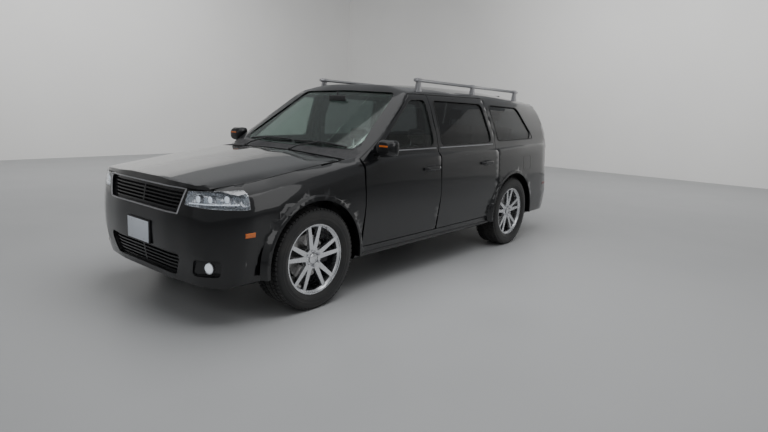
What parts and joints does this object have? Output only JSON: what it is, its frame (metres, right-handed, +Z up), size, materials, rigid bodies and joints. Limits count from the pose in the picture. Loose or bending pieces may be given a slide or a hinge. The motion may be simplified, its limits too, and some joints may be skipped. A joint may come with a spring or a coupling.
{
  "type": "sport utility vehicle",
  "caption": "Gloss black three-row family SUV with silver alloy wheels, opening doors, hood and liftgate, steered front wheels, roof rails and a full cabin.",
  "frame": {"origin": "centre of the overall box on the ground, under the middle of the car", "axes": "+X to the car's left, -Y forward, +Z up"},
  "size_m": [2.1764, 5.0357, 1.7986],
  "materials": {
    "paint": "gloss black clear coat",
    "black_plastic": "textured",
    "black_gloss": "gloss",
    "clear_lens": "clear",
    "red_lens": "gloss",
    "screen_glass": "clear green tint",
    "dark_glass": "privacy tint",
    "underbody": "satin",
    "engine_metal": "cast",
    "trim_plastic": "grained",
    "seat_leather": "satin",
    "rail_metal": "satin",
    "chassis_iron": "painted",
    "exhaust_steel": "satin",
    "tyre": "matte",
    "rim_alloy": "bright silver",
    "disc_iron": "machined"
  },
  "bodies": {
    "body": {"body_side_left": "paint", "body_side_right": "paint", "cowl_panel": "black_plastic", "dashboard": "trim_plastic", "engine_block": "engine_metal", "exhaust": "exhaust_steel", "fender_left": "paint", "fender_right": "paint", "floor_pan": "underbody", "fog_lamps": "clear_lens", "front_bumper": "paint", "front_suspension": "chassis_iron", "fuel_tank": "black_plastic", "grille": "black_gloss", "headlamps": "clear_lens", "quarter_windows": "dark_glass", "rear_bumper": "paint", "rear_suspension": "chassis_iron", "roof_panel": "paint", "roof_rails": "rail_metal", "seat_second_row": "seat_leather", "seat_third_row": "seat_leather", "seats_front": "seat_leather", "tail_lamps": "red_lens", "windshield": "screen_glass"},
    "hood": {"hood": "paint"},
    "liftgate": {"liftgate": "paint", "liftgate_glass": "dark_glass"},
    "door_front_left": {"door_front_left": "paint", "glass_front_left": "screen_glass", "mirror_left": "paint"},
    "door_front_right": {"door_front_right": "paint", "glass_front_right": "screen_glass", "mirror_right": "paint"},
    "door_rear_left": {"door_rear_left": "paint", "glass_rear_left": "dark_glass"},
    "door_rear_right": {"door_rear_right": "paint", "glass_rear_right": "dark_glass"},
    "knuckle_front_left": {"knuckle_left": "chassis_iron"},
    "knuckle_front_right": {"knuckle_right": "chassis_iron"},
    "wheel_front_left": {"disc_front_left": "disc_iron", "rim_front_left": "rim_alloy", "tyre_front_left": "tyre"},
    "wheel_front_right": {"disc_front_right": "disc_iron", "rim_front_right": "rim_alloy", "tyre_front_right": "tyre"},
    "wheel_rear_left": {"disc_rear_left": "disc_iron", "rim_rear_left": "rim_alloy", "tyre_rear_left": "tyre"},
    "wheel_rear_right": {"disc_rear_right": "disc_iron", "rim_rear_right": "rim_alloy", "tyre_rear_right": "tyre"},
    "steering_wheel": {"steering_wheel": "trim_plastic"}
  },
  "joints": [
    {"name": "hood_hinge", "type": "hinge", "parent": "body", "child": "hood", "pos_m": [0, -1.283, 1.098], "axis": [-1, 0, 0], "range_deg": [0, 55]},
    {"name": "liftgate_hinge", "type": "hinge", "parent": "body", "child": "liftgate", "pos_m": [0, 2.121, 1.704], "axis": [1, 0, 0], "range_deg": [0, 85]},
    {"name": "door_front_left_hinge", "type": "hinge", "parent": "body", "child": "door_front_left", "pos_m": [0.915, -1.08, 0.735], "axis": [0, 0, -1], "range_deg": [0, 65]},
    {"name": "door_front_right_hinge", "type": "hinge", "parent": "body", "child": "door_front_right", "pos_m": [-0.915, -1.08, 0.735], "axis": [0, 0, 1], "range_deg": [0, 65]},
    {"name": "door_rear_left_hinge", "type": "hinge", "parent": "body", "child": "door_rear_left", "pos_m": [0.915, -0.023, 0.735], "axis": [0, 0, -1], "range_deg": [0, 65]},
    {"name": "door_rear_right_hinge", "type": "hinge", "parent": "body", "child": "door_rear_right", "pos_m": [-0.915, -0.023, 0.735], "axis": [0, 0, 1], "range_deg": [0, 65]},
    {"name": "steer_left", "type": "hinge", "parent": "body", "child": "knuckle_front_left", "pos_m": [0.77, -1.64, 0.3865], "axis": [0, 0, 1], "range_deg": [-35, 35]},
    {"name": "steer_right", "type": "hinge", "parent": "body", "child": "knuckle_front_right", "pos_m": [-0.77, -1.64, 0.3865], "axis": [0, 0, 1], "range_deg": [-35, 35]},
    {"name": "steering_wheel_turn", "type": "hinge", "parent": "body", "child": "steering_wheel", "pos_m": [0.38, -0.612, 0.9676], "axis": [0, 0.9648, 0.2631], "range_deg": [-525, 525]},
    {"name": "wheel_front_left_spin", "type": "hinge", "parent": "knuckle_front_left", "child": "wheel_front_left", "pos_m": [0.814, -1.64, 0.3865], "axis": [1, 0, 0], "continuous": true},
    {"name": "wheel_front_right_spin", "type": "hinge", "parent": "knuckle_front_right", "child": "wheel_front_right", "pos_m": [-0.814, -1.64, 0.3865], "axis": [1, 0, 0], "continuous": true},
    {"name": "wheel_rear_left_spin", "type": "hinge", "parent": "body", "child": "wheel_rear_left", "pos_m": [0.814, 1.402, 0.3865], "axis": [1, 0, 0], "continuous": true},
    {"name": "wheel_rear_right_spin", "type": "hinge", "parent": "body", "child": "wheel_rear_right", "pos_m": [-0.814, 1.402, 0.3865], "axis": [1, 0, 0], "continuous": true}
  ],
  "couplings": [
    {"joint": "steer_right", "follows": "steer_left", "ratio": 1},
    {"joint": "steering_wheel_turn", "follows": "steer_left", "ratio": 15}
  ]
}
